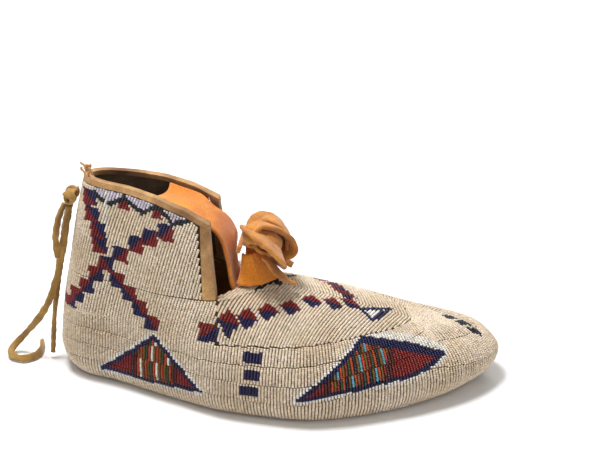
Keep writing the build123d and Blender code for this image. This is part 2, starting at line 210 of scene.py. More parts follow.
class Shape:
    """The shoe's body, inset by d from the beads' outer face."""

    def __init__(self, d):
        self.d = d
        # inset of the width curve about the centre line; both ends stay round
        g = np.gradient(_w, _xs)
        nn = np.sqrt(1 + g * g)
        ox, ow = _xs + d * g / nn, _w - d / nn
        ox[0], ow[0], ox[-1], ow[-1] = _xs[0] + d, 0, _xs[-1] - d, 0
        k = (ow >= 0) & (ox >= _xs[0] + d) & (ox <= _xs[-1] - d)
        ox, ow = ox[k], ow[k]
        k = np.concatenate([[True], np.diff(np.maximum.accumulate(ox)) > 1e-6])
        ox, ow = ox[k], ow[k]
        self.x0, self.x1 = float(ox[0]), float(ox[-1])
        self.xs, self.w, self.c = ox, ow, np.interp(ox, _xs, _c)
        rx = np.linspace(-34, 130, 400)
        rz = pchip(_R[:, 0], _R[:, 1], rx)
        g = np.gradient(rz, rx)
        nn = np.sqrt(1 + g * g)
        ox, oz = rx + d * g / nn, rz - d / nn
        k = ox < 130 - d
        self.rx = np.append(ox[k], 130 - d)
        self.rz = np.append(oz[k], min(oz[k][-1] - 0.2, 20))

    def back(self, z):
        return float(pchip(_B[:, 0], _B[:, 1], z)) + self.d

    def toe(self, z):
        if z <= self.rz[-1]:
            return self.x1
        return min(float(np.interp(-z, -self.rz, self.rx)), self.x1)

    def half(self, x, z):
        """half width and centre of the level z (from ZM to THROAT_Z) at x"""
        xb = self.back(z)
        xe = np.where(x < X_PIVOT, X_PIVOT + (x - X_PIVOT) * (self.x0 - X_PIVOT) / (xb - X_PIVOT), x)
        # map the width's square, so that the ends stay round
        w = np.sqrt(np.maximum(np.interp(xe, self.xs, self.w**2), 0))
        c = np.interp(xe, self.xs, self.c)
        u1 = np.clip((z - ZM) / (H_ANKLE - ZM), 0, 1)
        f1 = (1 - u1**1.4) ** (1 / 1.8)
        k = (38 * f1 - self.d) / ((38 - self.d) * f1)
        hv = np.maximum(np.interp(x, self.rx, self.rz), ZM + 0.01)
        f2 = (1 - np.clip((z - ZM) / (hv - ZM), 0, 1) ** 2.0) ** 0.5
        b = smooth((x + 75) / 70)
        f = np.where(x < -75, f1 * k, (1 - b) * f1 * k + b * np.minimum(f1 * k, f2))
        return w * f, c

    def loop(self, z, n=44):
        zz = min(max(z, ZM), THROAT_Z)
        xb, xt = self.back(zz), self.toe(zz)
        t = np.arange(n) * 2 * math.pi / n
        x = (xb + xt) / 2 + (xt - xb) / 2 * np.cos(t)
        w, c = self.half(x, zz)
        w[0] = 0
        w[n // 2] = 0
        p = np.column_stack([x, c + np.sign(np.round(np.sin(t), 9)) * w])
        if z < ZM:
            g = (1 - z / ZM) ** 2.2
            xx = p[:, 0]
            xn = np.where(xx < -60, xx + 9 * g * (-60 - xx) / (-60 - xb), xx)
            xn = np.where(xx > 60, xx - 17 * g * (xx - 60) / (xt - 60), xn)
            p = np.column_stack([xn, c + (p[:, 1] - c) * (1 - 0.15 * g)])
        if z > THROAT_Z:
            f = lambda q: (1 - ((q - ZM) / (H_ANKLE - ZM)) ** 1.4) ** (1 / 1.8)
            r = f(z) / f(THROAT_Z)
            r = (30 * r - self.d) / (30 - self.d)
            # heel leans forward with height
            xb2 = self.back(z)
            xf = xt
            xn = xf + (p[:, 0] - xf) * (xb2 - xf) / (xb - xf)
            cl = np.interp(xn, [xb2, X_PIVOT, 130], [float(c[n // 2]), float(np.interp(X_PIVOT, self.xs, self.c)), 0])
            cc = c
            p = np.column_stack([xn, cc + (p[:, 1] - cc) * r])
        return p




def grid(d, zs, n=360):
    s = Shape(d)
    return np.array([np.column_stack([s.loop(float(z), n), np.full(n, float(z))]) for z in zs])


def bvh_of(g):
    L, n, _ = g.shape
    v = g.reshape(-1, 3)
    f = []
    for i in range(L - 1):
        for j in range(n):
            k = (j + 1) % n
            f.append((i * n + j, i * n + k, (i + 1) * n + k, (i + 1) * n + j))
    f.append(tuple(range((L - 1) * n, L * n)))
    return BVHTree.FromPolygons([tuple(q) for q in v], f)


Z_FINE = np.concatenate([[0, 0.4, 1, 1.7, 2.5], np.arange(3.5, 18, 1.2), np.arange(18, 66.1, 1.2), [66.0]])
FOOT = grid(0.0, Z_FINE)
TREE = bvh_of(FOOT)
ZM_LOOP = Shape(0.0).loop(ZM, 1440)


# sole-edge stations: the widest level, by arc length, starting at the toe and going round by the inner side
_loop = np.vstack([ZM_LOOP, ZM_LOOP[:1]])
_la = arc(_loop)
PERIM = float(_la[-1])
NS = 720
ST_S = np.arange(NS) * PERIM / NS
ST_P = at(_loop, _la, ST_S)
_d = np.roll(ST_P, -3, 0) - np.roll(ST_P, 3, 0)
_n = np.stack([-_d[:, 1], _d[:, 0]], 1)
ST_IN = _n / np.linalg.norm(_n, axis=1)[:, None]
for _ in range(3):
    ST_IN = (np.roll(ST_IN, 1, 0) + ST_IN + np.roll(ST_IN, -1, 0))
    ST_IN /= np.linalg.norm(ST_IN, axis=1)[:, None]

# profile across the side at each station, from under the edge, up the side and over the vamp
NV = 70
PIV = 28.0
ANG = np.radians(np.linspace(-38, 128, 84))
PROF = np.zeros((NS, NV, 3))
PLEN = np.zeros(NS)
for i in range(NS):
    piv = np.array([*(ST_P[i] + ST_IN[i] * PIV), 12.0])
    pts = []
    for a in ANG:
        d = Vector((-ST_IN[i][0] * math.cos(a), -ST_IN[i][1] * math.cos(a), math.sin(a)))
        h = TREE.ray_cast(Vector(piv), d, 200)
        if h[0] is not None and h[0].z < 65.9:
            pts.append(h[0][:])
    pts = np.array(pts)
    # start at the height where the side leaves the ground
    a = arc(pts)
    k = np.argmin(np.abs(pts[:, 2] - 1.0) + (a > 20) * 99)
    pts = pts[k:]
    a = arc(pts)
    PLEN[i] = a[-1]
    PROF[i] = at(pts, a, np.linspace(0, a[-1], NV))


def surf(si, v):
    """point on the side at station si (float, in stations) and arc length v from the ground edge"""
    i0 = int(math.floor(si)) % NS
    i1 = (i0 + 1) % NS
    f = si - math.floor(si)
    a = PROF[i0]
    b = PROF[i1]
    ta = np.clip(v / PLEN[i0], 0, 1) * (NV - 1)
    tb = np.clip(v / PLEN[i1], 0, 1) * (NV - 1)
    ka = np.clip(np.floor(ta).astype(int), 0, NV - 2)
    kb = np.clip(np.floor(tb).astype(int), 0, NV - 2)
    pa = a[ka] + (a[ka + 1] - a[ka]) * (ta - ka)[:, None]
    pb = b[kb] + (b[kb + 1] - b[kb]) * (tb - kb)[:, None]
    return pa * (1 - f) + pb * f


# ------------------------------------------------------------------ bead colours
IV = (0.90, 0.838, 0.752)
PAL = {
    "iv": IV, "wh": (0.93, 0.92, 0.90), "lav": (0.83, 0.80, 0.87),
    "red": (0.50, 0.035, 0.03), "dred": (0.30, 0.02, 0.045), "blue": (0.045, 0.035, 0.28), "navy": (0.03, 0.025, 0.16),
    "teal": (0.035, 0.09, 0.14), "lt": (0.36, 0.62, 0.70), "org": (0.70, 0.24, 0.03), "olv": (0.42, 0.30, 0.04),
    "grn": (0.10, 0.26, 0.13), "tan": (0.62, 0.50, 0.32),
}


def lin(c):
    c = np.asarray(c, float)
    return np.where(c <= 0.04045, c / 12.92, ((c + 0.055) / 1.055) ** 2.4)


class Beads:
    def __init__(self, name, body, slot, nodes):
        self.name, self.body, self.slot, self.nodes = name, body, slot, nodes
        self.C, self.U, self.N, self.L, self.R, self.col = [], [], [], [], [], []

    def string(self, path, n, cols, r=0.86, flat=0.93, lift=None, fill=0.97):
        """n beads evenly along the path; cols is a list of names"""
        a = arc(path)
        if a[-1] < 0.8 or n < 1:
            return
        pitch = a[-1] / n
        s = (np.arange(n) + 0.5) * pitch
        s = s + rng.normal(0, 0.035, n)
        c = at(path, a, s)
        e = 0.5
        u = at(path, a, np.minimum(s + e, a[-1])) - at(path, a, np.maximum(s - e, 0))
        u /= np.linalg.norm(u, axis=1)[:, None] + 1e-12
        nn = []
        for q in c:
            h = self.tree.find_nearest(Vector(q))
            w = h[1] if h[1] is not None else Vector((0, 0, 1))
            nn.append(w[:])
        nn = np.array(nn)
        # outward
        ref = c - self.centre(c)
        sg = np.sign(np.sum(nn * ref, axis=1))
        nn = nn * np.where(sg == 0, 1, sg)[:, None]
        nn = nn - u * np.sum(nn * u, axis=1)[:, None]
        nn /= np.linalg.norm(nn, axis=1)[:, None] + 1e-12
        h = np.full(n, -0.80) if lift is None else lift((np.arange(n) + 0.5) / n) - 0.80
        h = h + rng.normal(0, 0.05, n)
        c = c + nn * h[:, None] + np.cross(nn, u) * rng.normal(0, 0.05, n)[:, None]
        u = u + rng.normal(0, 0.035, (n, 3))
        u /= np.linalg.norm(u, axis=1)[:, None]
        size = 1 + rng.normal(0, 0.035, n)
        self.C.append(c)
        self.U.append(u)
        self.N.append(nn)
        self.L.append(pitch * fill * np.clip(size, 0.9, 1.05))
        self.R.append(np.column_stack([r * flat * size, r * size]))
        self.col.append([cols[i] if i < len(cols) else "iv" for i in range(n)])

    tree = TREE

    def centre(self, c):
        return np.column_stack([np.clip(c[:, 0], -100, 95), np.interp(c[:, 0], [-130, -60, 0, 60, 130], [9.9, 4, 0, 6, 20]), np.full(len(c), 18.0)])

    def build(self):
        C = np.concatenate(self.C)
        U = np.concatenate(self.U)
        N = np.concatenate(self.N)
        L = np.concatenate(self.L)
        R = np.concatenate(self.R)
        names = [q for w in self.col for q in w]
        n = len(C)
        base = np.array([lin(PAL[q]) for q in names])
        # each bead differs a little; the pale ones carry faint pink, green and grey
        val = np.clip(1 + rng.normal(0, 0.085, n), 0.7, 1.22)
        iv = np.array([q == "iv" for q in names])
        tint = np.zeros((n, 3))
        kinds = rng.choice(5, n, p=[0.62, 0.12, 0.10, 0.08, 0.08])
        T = np.array([[0, 0, 0], [0.03, -0.03, -0.035], [-0.02, 0.01, 0.0], [0.0, -0.005, 0.05], [-0.05, -0.06, -0.09]])
        tint[iv] = T[kinds[iv]]
        col = np.clip(base * val[:, None] + tint, 0, 1)
        V = np.cross(N, U)
        K = 8
        th = np.arange(K) * 2 * math.pi / K
        ring = np.cos(th)[None, :, None] * (N * R[:, :1])[:, None, :] + np.sin(th)[None, :, None] * (V * R[:, 1:])[:, None, :]
        hs = np.array([-1.0, 0.0, 1.0])
        rs = np.array([0.74, 1.0, 0.74])
        parts = [C[:, None, :] + ring * q + (U * (L / 2)[:, None] * h)[:, None, :] for h, q in zip(hs, rs)]
        nr = len(hs)
        verts = np.stack(parts, 1).reshape(n, nr * K, 3)
        quads, uvq = [], []
        for r_ in range(nr - 1):
            for j in range(K):
                k = (j + 1) % K
                quads.append((r_ * K + j, r_ * K + k, (r_ + 1) * K + k, (r_ + 1) * K + j))
                u0, u1 = 0.06 + 0.88 * j / K, 0.06 + 0.88 * (j + 1) / K
                v0, v1 = 0.22 + 0.56 * r_ / (nr - 1), 0.22 + 0.56 * (r_ + 1) / (nr - 1)
                uvq.append([(u0, v0), (u1, v0), (u1, v1), (u0, v1)])
        quads = np.array(quads)
        uvq = np.array(uvq)
        cap0 = np.arange(K)[::-1]
        cap1 = np.arange(K) + (nr - 1) * K
        cuv0 = np.stack([0.5 + 0.08 * np.cos(th[::-1]), 0.11 + 0.08 * np.sin(th[::-1])], 1)
        cuv1 = np.stack([0.5 + 0.08 * np.cos(th), 0.89 + 0.08 * np.sin(th)], 1)
        nq = len(quads)
        loops_one = np.concatenate([quads.reshape(-1), cap0, cap1])
        uv_one = np.concatenate([uvq.reshape(-1, 2), cuv0, cuv1])
        starts_one = np.concatenate([np.arange(nq) * 4, [nq * 4, nq * 4 + K]])
        totals_one = np.array([4] * nq + [K, K])
        nl = len(loops_one)
        nf = len(totals_one)
        loops = (loops_one[None, :] + (np.arange(n) * nr * K)[:, None]).reshape(-1)
        starts = (starts_one[None, :] + (np.arange(n) * nl)[:, None]).reshape(-1)
        side = math.ceil(math.sqrt(n))
        cx, cy = np.arange(n) % side, np.arange(n) // side
        uv = (uv_one[None, :, :] + np.stack([cx, cy], 1)[:, None, :]) / side
        me = bpy.data.meshes.new(self.name)
        me.vertices.add(n * nr * K)
        me.vertices.foreach_set("co", (verts.reshape(-1, 3) * MM).astype(np.float32).ravel())
        me.loops.add(n * nl)
        me.loops.foreach_set("vertex_index", loops.astype(np.int32))
        me.polygons.add(n * nf)
        me.polygons.foreach_set("loop_start", starts.astype(np.int32))
        me.polygons.foreach_set("use_smooth", np.ones(n * nf, bool))
        me.update(calc_edges=True)
        lay = me.uv_layers.new(name="OFBake")
        lay.data.foreach_set("uv", uv.astype(np.float32).ravel())
        att = me.color_attributes.new("bead", "FLOAT_COLOR", "POINT")
        c4 = np.ones((n, nr * K, 4), np.float32)
        c4[:, :, :3] = col[:, None, :]
        att.data.foreach_set("color", c4.ravel())
        me.validate()
        ob = bpy.data.objects.new(self.name, me)
        bpy.context.scene.collection.objects.link(ob)
        ob.data.materials.append(MAT["bead"])
        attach(ob, self.body)
        if self.nodes:
            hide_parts(*self.nodes)
        self.count = n
        print("beads", self.name, n)
        return ob


# ------------------------------------------------------------------ materials
def material(name):
    m = bpy.data.materials.new(name)
    m.use_nodes = True
    nt = m.node_tree
    b = nt.nodes["Principled BSDF"]
    return m, nt, b


def bead_material():
    m, nt, b = material("seed_beads")
    at_ = nt.nodes.new("ShaderNodeVertexColor")
    at_.layer_name = "bead"
    no = nt.nodes.new("ShaderNodeTexNoise")
    no.inputs["Scale"].default_value = 900
    no.inputs["Detail"].default_value = 3
    tc = nt.nodes.new("ShaderNodeTexCoord")
    nt.links.new(tc.outputs["Object"], no.inputs["Vector"])
    ra = nt.nodes.new("ShaderNodeValToRGB")
    ra.color_ramp.elements[0].position, ra.color_ramp.elements[0].color = 0.30, (0.80, 0.77, 0.72, 1)
    ra.color_ramp.elements[1].position, ra.color_ramp.elements[1].color = 0.62, (1, 1, 1, 1)
    nt.links.new(no.outputs["Fac"], ra.inputs["Fac"])
    # soot and grime gather over larger patches
    n2 = nt.nodes.new("ShaderNodeTexNoise")
    n2.inputs["Scale"].default_value = 38
    n2.inputs["Detail"].default_value = 4
    nt.links.new(tc.outputs["Object"], n2.inputs["Vector"])
    r2 = nt.nodes.new("ShaderNodeValToRGB")
    r2.color_ramp.elements[0].position, r2.color_ramp.elements[0].color = 0.28, (0.86, 0.81, 0.72, 1)
    r2.color_ramp.elements[1].position, r2.color_ramp.elements[1].color = 0.60, (1.0, 1.0, 1.0, 1)
    nt.links.new(n2.outputs["Fac"], r2.inputs["Fac"])
    m1 = nt.nodes.new("ShaderNodeMix")
    m1.data_type = "RGBA"
    m1.blend_type = "MULTIPLY"
    m1.inputs["Factor"].default_value = 1.0
    nt.links.new(at_.outputs["Color"], m1.inputs["A"])
    nt.links.new(ra.outputs["Color"], m1.inputs["B"])
    m2 = nt.nodes.new("ShaderNodeMix")
    m2.data_type = "RGBA"
    m2.blend_type = "MULTIPLY"
    m2.inputs["Factor"].default_value = 1.0
    nt.links.new(m1.outputs["Result"], m2.inputs["A"])
    nt.links.new(r2.outputs["Color"], m2.inputs["B"])
    nt.links.new(m2.outputs["Result"], b.inputs["Base Color"])
    rr = nt.nodes.new("ShaderNodeMapRange")
    rr.inputs["To Min"].default_value = 0.22
    rr.inputs["To Max"].default_value = 0.46
    nt.links.new(no.outputs["Fac"], rr.inputs["Value"])
    nt.links.new(rr.outputs["Result"], b.inputs["Roughness"])
    b.inputs["Specular IOR Level"].default_value = 0.5
    b.inputs["IOR"].default_value = 1.52
    return m


def hide_material(name, light, dark, grime, scale=1.0, rough=(0.72, 0.95), bump=0.35, sheen=0.25):
    """tanned hide: mottled smoke colour, fine nap, creases and darker handled patches"""
    m, nt, b = material(name)
    tc = nt.nodes.new("ShaderNodeTexCoord")
    n1 = nt.nodes.new("ShaderNodeTexNoise")
    n1.inputs["Scale"].default_value = 55 * scale
    n1.inputs["Detail"].default_value = 6
    n1.inputs["Roughness"].default_value = 0.62
    nt.links.new(tc.outputs["Object"], n1.inputs["Vector"])
    r1 = nt.nodes.new("ShaderNodeValToRGB")
    e = r1.color_ramp.elements
    e[0].position, e[0].color = 0.30, (*lin(dark), 1)
    e[1].position, e[1].color = 0.66, (*lin(light), 1)
    nt.links.new(n1.outputs["Fac"], r1.inputs["Fac"])
    n2 = nt.nodes.new("ShaderNodeTexNoise")
    n2.inputs["Scale"].default_value = 620 * scale
    n2.inputs["Detail"].default_value = 5
    nt.links.new(tc.outputs["Object"], n2.inputs["Vector"])
    r2 = nt.nodes.new("ShaderNodeValToRGB")
    r2.color_ramp.elements[0].position, r2.color_ramp.elements[0].color = 0.25, (0.74, 0.70, 0.64, 1)
    r2.color_ramp.elements[1].position, r2.color_ramp.elements[1].color = 0.62, (1, 1, 1, 1)
    nt.links.new(n2.outputs["Fac"], r2.inputs["Fac"])
    mx = nt.nodes.new("ShaderNodeMix")
    mx.data_type = "RGBA"
    mx.blend_type = "MULTIPLY"
    mx.inputs["Factor"].default_value = 1.0
    nt.links.new(r1.outputs["Color"], mx.inputs["A"])
    nt.links.new(r2.outputs["Color"], mx.inputs["B"])
    n3 = nt.nodes.new("ShaderNodeTexNoise")
    n3.inputs["Scale"].default_value = 21 * scale
    n3.inputs["Detail"].default_value = 3
    nt.links.new(tc.outputs["Object"], n3.inputs["Vector"])
    r3 = nt.nodes.new("ShaderNodeMapRange")
    r3.inputs["From Min"].default_value = 0.52
    r3.inputs["From Max"].default_value = 0.72
    nt.links.new(n3.outputs["Fac"], r3.inputs["Value"])
    mg = nt.nodes.new("ShaderNodeMix")
    mg.data_type = "RGBA"
    nt.links.new(r3.outputs["Result"], mg.inputs["Factor"])
    nt.links.new(mx.outputs["Result"], mg.inputs["A"])
    mg.inputs["B"].default_value = (*lin(grime), 1)
    nt.links.new(mg.outputs["Result"], b.inputs["Base Color"])
    rr = nt.nodes.new("ShaderNodeMapRange")
    rr.inputs["To Min"].default_value, rr.inputs["To Max"].default_value = rough
    nt.links.new(n1.outputs["Fac"], rr.inputs["Value"])
    nt.links.new(rr.outputs["Result"], b.inputs["Roughness"])
    b.inputs["Sheen Weight"].default_value = sheen
    b.inputs["Sheen Roughness"].default_value = 0.6
    b.inputs["Specular IOR Level"].default_value = 0.25
    bu = nt.nodes.new("ShaderNodeBump")
    bu.inputs["Strength"].default_value = bump
    bu.inputs["Distance"].default_value = 0.0006
    n4 = nt.nodes.new("ShaderNodeTexNoise")
    n4.inputs["Scale"].default_value = 170 * scale
    n4.inputs["Detail"].default_value = 8
    n4.inputs["Roughness"].default_value = 0.7
    n4.inputs["Distortion"].default_value = 0.4
    nt.links.new(tc.outputs["Object"], n4.inputs["Vector"])
    nt.links.new(n4.outputs["Fac"], bu.inputs["Height"])
    nt.links.new(bu.outputs["Normal"], b.inputs["Normal"])
    return m


MAT = {
    "bead": bead_material(),
    "body": hide_material("body_hide", (0.62, 0.46, 0.28), (0.36, 0.25, 0.14), (0.26, 0.17, 0.09)),
    "inner": hide_material("inner_hide", (0.50, 0.38, 0.24), (0.26, 0.18, 0.11), (0.16, 0.10, 0.06)),
    "edge": hide_material("edge_hide", (0.83, 0.65, 0.42), (0.58, 0.40, 0.22), (0.42, 0.27, 0.13), scale=1.5),
    "tongue": hide_material("tongue_hide", (0.96, 0.60, 0.13), (0.84, 0.46, 0.07), (0.66, 0.33, 0.06), sheen=0.3),
    "tie": hide_material("tie_hide", (0.86, 0.58, 0.24), (0.64, 0.38, 0.13), (0.40, 0.22, 0.07), scale=1.4),
    "thong": hide_material("thong_hide", (0.70, 0.54, 0.25), (0.48, 0.33, 0.11), (0.30, 0.19, 0.06), scale=1.6),
    "raw": hide_material("rawhide", (0.84, 0.69, 0.44), (0.66, 0.48, 0.26), (0.52, 0.35, 0.16), rough=(0.45, 0.7), sheen=0.05),
}


def set_mat(node, mat):
    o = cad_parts[node]
    if len(o.material_slots) == 0:
        o.data.materials.append(MAT[mat])
    for sl in o.material_slots:
        sl.material = MAT[mat]


def mesh_object(name, verts, faces, mat, body, smooth=True, nodes=()):
    me = bpy.data.meshes.new(name)
    me.from_pydata([tuple(float(c) * MM for c in v) for v in verts], [], [tuple(int(i) for i in f) for f in faces])
    me.validate()
    me.update()
    if smooth:
        me.polygons.foreach_set("use_smooth", np.ones(len(me.polygons), bool))
    ob = bpy.data.objects.new(name, me)
    bpy.context.scene.collection.objects.link(ob)
    me.materials.append(MAT[mat])
    if body:
        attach(ob, body)
    if nodes:
        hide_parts(*nodes)
    return ob

# thongs
TW = {"heel_thong_long": (lambda t: 0.5 + 2.6 * t + 0.5 * np.sin(9 * t), (0, 1, 0), 3),
      "heel_thong_straight": (lambda t: 0.9 * np.sin(5 * t) + 0.4, (0, 1, 0), 4),
      "heel_thong_short": (lambda t: 1.2 * t + 0.3, (0, 1, 0), 5)}
for nm in ROUTES:
    tw, first, sd = TW[nm]
    w = lambda t: 4.1 * (1 - 0.22 * smooth((t - 0.9) * 10)) + 0.2 * np.sin(17 * t)
    V, F = strip(LINES[nm], w, 2.7, tw, first, 0.8, 0.20, seed=sd, floor=0.15)
    ob = mesh_object(nm + "_hide", V, F, "thong", "root", nodes=(nm,))
    p0 = ROUTES[nm][0]

# the knot of the heel thongs: two wraps and a tuck
KC = np.array([-121.9, 11.5, 108.5])


def loop_path(c, ax1, ax2, r1, r2, a0, a1, n=40, lift=None):
    a = np.linspace(a0, a1, n)
    p = c + np.outer(np.cos(a) * r1, ax1) + np.outer(np.sin(a) * r2, ax2)
    if lift is not None:
        p = p + np.outer(lift * (a - a0) / (a1 - a0), np.cross(ax1, ax2))
    return p


def join(objs):
    V, F = [], []
    for v, f in objs:
        k = len(V)
        V += v
        F += [tuple(i + k for i in q) for q in f]
    return V, F


X, Y, Z = np.eye(3)
bits = []
bits.append(strip(loop_path(KC, X, Z, 2.6, 3.4, 0.2, 6.9, lift=-3.4) + [0, 3.4, 0], 4.4, 2.0, first=(0, 1, 0), seed=11, step=0.7))
bits.append(strip(loop_path(KC, X, Z, 2.5, 3.3, 2.2, 8.8, lift=3.6) - [0, 3.2, 0], 4.6, 2.0, first=(0, 1, 0), seed=12, step=0.7))
bits.append(strip(loop_path(KC, Y, Z, 4.0, 2.7, -0.4, 6.2) + [0.3, 0, 0], 5.6, 2.0, first=(1, 0, 0), seed=13, step=0.7))
V, F = join(bits)
mesh_object("heel_thong_wraps", V, F, "thong", "root", nodes=("heel_thong_knot",))

bits = []
for i in range(9):
    r0 = np.random.default_rng(100 + i)
    y0 = 9.9 + r0.uniform(-5.5, 5.5)
    x0 = -110.8 + r0.uniform(-1.6, 2.6)
    p0 = np.array([x0, y0, 121.4])
    d0 = np.array([r0.uniform(-3.2, 1.5), r0.uniform(-2.6, 2.6), r0.uniform(4.0, 7.6)])
    pth = np.array([p0, p0 + d0 * 0.4 + [0, 0, 0.6], p0 + d0 * 0.8 + r0.normal(0, 0.6, 3), p0 + d0 + [r0.uniform(-2, 0), 0, -0.8]])
    q = pth
    bits.append(strip(at(q, arc(q), np.linspace(0, arc(q)[-1], 24)), lambda t: 3.4 * (1 - 0.65 * t), 1.3, lambda t: 1.2 * t, first=(0.3, 1, 0), seed=60 + i,
                      rough=0.2, step=0.5))
V, F = join(bits)
mesh_object("heel_top_tuft", V, F, "edge", "root")

# ------------------------------------------------------------------ the tongue: one piece of hide, up the throat and folded back
tb = [(6, 47.5), (-4, 50.2), (-13, 53.8), (-21.2, 59.4), (-25.0, 68.5), (-25.5, 79), (-25.8, 86), (-26.0, 90.3)]
tf = [(-27.0, 93.2), (-30.5, 99.5), (-36.5, 104.0), (-46, 107.5), (-58, 110.0), (-68, 112.0)]
pr = np.array(tb + tf, float)
ap = arc(pr)
TLEN = float(ap[-1])
nt_, nw_ = 110, 40
tt = np.linspace(0, 1, nt_)
prof = at(pr, ap, tt * TLEN)
for _ in range(10):
    prof[1:-1] = (prof[:-2] + 2 * prof[1:-1] + prof[2:]) / 4
rt = np.random.default_rng(21)
dp = np.gradient(prof, axis=0)
dp /= np.linalg.norm(dp, axis=1)[:, None]
nor2 = np.column_stack([-dp[:, 1], dp[:, 0]])
top = np.zeros((nt_, nw_, 3))
TH = 2.2
fold = smooth((prof[:, 1] - 80) / 14)
waves = [(rt.uniform(0.4, 1.6), rt.uniform(0.5, 2.2), rt.uniform(0, 6.28), rt.uniform(0.12, 0.32)) for _ in range(7)]
off = np.zeros((nt_, nw_))
ww = np.linspace(-1, 1, nw_)
for fa, fb, ph_, am in waves:
    off += am * np.sin(fa * 2 * math.pi * tt[:, None] * 2 + fb * 2.2 * ww[None, :] + ph_)
off -= smooth((-37.0 - prof[:, 0]) / 13)[:, None] * (3.2 + 1.0 * ww[None, :] ** 2)          # the fold lies high, its edges a little higher                       # the free edges curl up a little
half = 12.9 - 1.5 * fold + 0.35 * np.sin(9 * tt) + 0.2 * np.sin(31 * tt)
ang = -9.6 * fold
rear = smooth((tt - 0.93) / 0.07)
ck, sk = np.cos(np.radians(-ang)), np.sin(np.radians(-ang))
for i in range(nt_):
    endpull = 1.6 * rear[i] * np.sin(3.1 * ww + 0.5) + 1.2 * rear[i] * ww ** 2
    x = prof[i, 0] + nor2[i, 0] * off[i] + endpull
    z = prof[i, 1] + nor2[i, 1] * off[i]
    y = ww * half[i]
    dx = x + 27.5
    top[i, :, 0] = -27.5 + dx * ck[i] + y * sk[i]
    top[i, :, 1] = -dx * sk[i] + y * ck[i]
    top[i, :, 2] = z


def thicken(top, th):
    """closed sheet from a grid of points on its middle"""
    a, b, _ = top.shape
    du = np.gradient(top, axis=0)
    dv = np.gradient(top, axis=1)
    n = np.cross(du, dv)
    n /= np.linalg.norm(n, axis=2)[:, :, None] + 1e-12
    e = np.minimum(1, np.minimum(np.arange(a), np.arange(a)[::-1])[:, None] / 1.5 + 0.45) * \
        np.minimum(1, np.minimum(np.arange(b), np.arange(b)[::-1])[None, :] / 1.5 + 0.45)
    up_, lo_ = top + n * (th / 2) * e[:, :, None], top - n * (th / 2) * e[:, :, None]
    V = np.concatenate([up_.reshape(-1, 3), lo_.reshape(-1, 3)])
    F = []
    for i in range(a - 1):
        for j in range(b - 1):
            p = i * b + j
            F.append((p, p + b, p + b + 1, p + 1))
            q = p + a * b
            F.append((q, q + 1, q + b + 1, q + b))
    rim = [(0, j) for j in range(b)] + [(i, b - 1) for i in range(1, a)] + [(a - 1, j) for j in range(b - 2, -1, -1)] + [(i, 0) for i in range(a - 2, 0, -1)]
    ids = [i * b + j for i, j in rim]
    for k in range(len(ids)):
        p, q = ids[k], ids[(k + 1) % len(ids)]
        F.append((p, q, q + a * b, p + a * b))
    return V, F


V, F = thicken(top, TH)
tongue = mesh_object("tongue_hide_sheet", V, F, "tongue", None, nodes=("tongue_base", "tongue_flap"))
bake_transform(tongue)

# the tongue's gathered foot, fanned over the front of the throat and drawn in under the knot
ra, rb = 34, 90
sk_ = np.zeros((ra, rb, 3))
th_ = np.radians(np.linspace(-116, 116, rb))
for i in range(ra):
    t = i / (ra - 1)
    q = t ** 0.62
    rx = 16.0 * (1 - q) + 5.2 * q
    ry = 16.5 * (1 - q) + 8.8 * q
    cx_ = -14.5 * (1 - t) + -16.0 * t
    cy_ = 3.5 * (1 - t) + 0.5 * t
    pl = 1 + (0.050 * np.sin(11 * th_ + 2.0 * t) + 0.035 * np.sin(17 * th_ + 1.3)) * (0.35 + 0.65 * t) \
        + 0.045 * np.sin(3 * th_ + 0.8) * (1 - t)
    sk_[i, :, 0] = cx_ + rx * np.cos(th_) * pl
    sk_[i, :, 1] = cy_ + ry * np.sin(th_) * pl
    if i == 0:
        zb = np.array([TREE.ray_cast(Vector((float(x_), float(y_), 90)), Vector((0, 0, -1)), 200)[0].z for x_, y_ in sk_[0, :, :2]])
        zb = zb + 2.2
    sk_[i, :, 2] = zb * (1 - t) + 86.0 * t + 0.9 * (1 - t) * np.sin(math.pi * t) + 0.5 * np.sin(5 * th_ + 1.0) * t * (1 - t)
V, F = thicken(sk_, 1.8)
skirt = mesh_object("tongue_gathered_foot", V, F, "tongue", "root")

# ------------------------------------------------------------------ the tie: wraps, two folded lobes and two ends
KN = np.array([-7.4, 0, 93.4])
ux = np.array([math.cos(math.radians(20)), 0, -math.sin(math.radians(20))])
uz = np.array([math.sin(math.radians(20)), 0, math.cos(math.radians(20))])
bits = []


def bez(pts, n=60):
    p = np.array(pts, float)
    for _ in range(4):
        q = [p[0]]
        for i in range(len(p) - 1):
            q.append(p[i] * 0.75 + p[i + 1] * 0.25)
            q.append(p[i] * 0.25 + p[i + 1] * 0.75)
        q.append(p[-1])
        p = np.array(q)
    return p


def loc(pts):
    return [KN + (ux * a + Y * b + uz * c) * 1.1 for a, b, c in pts]


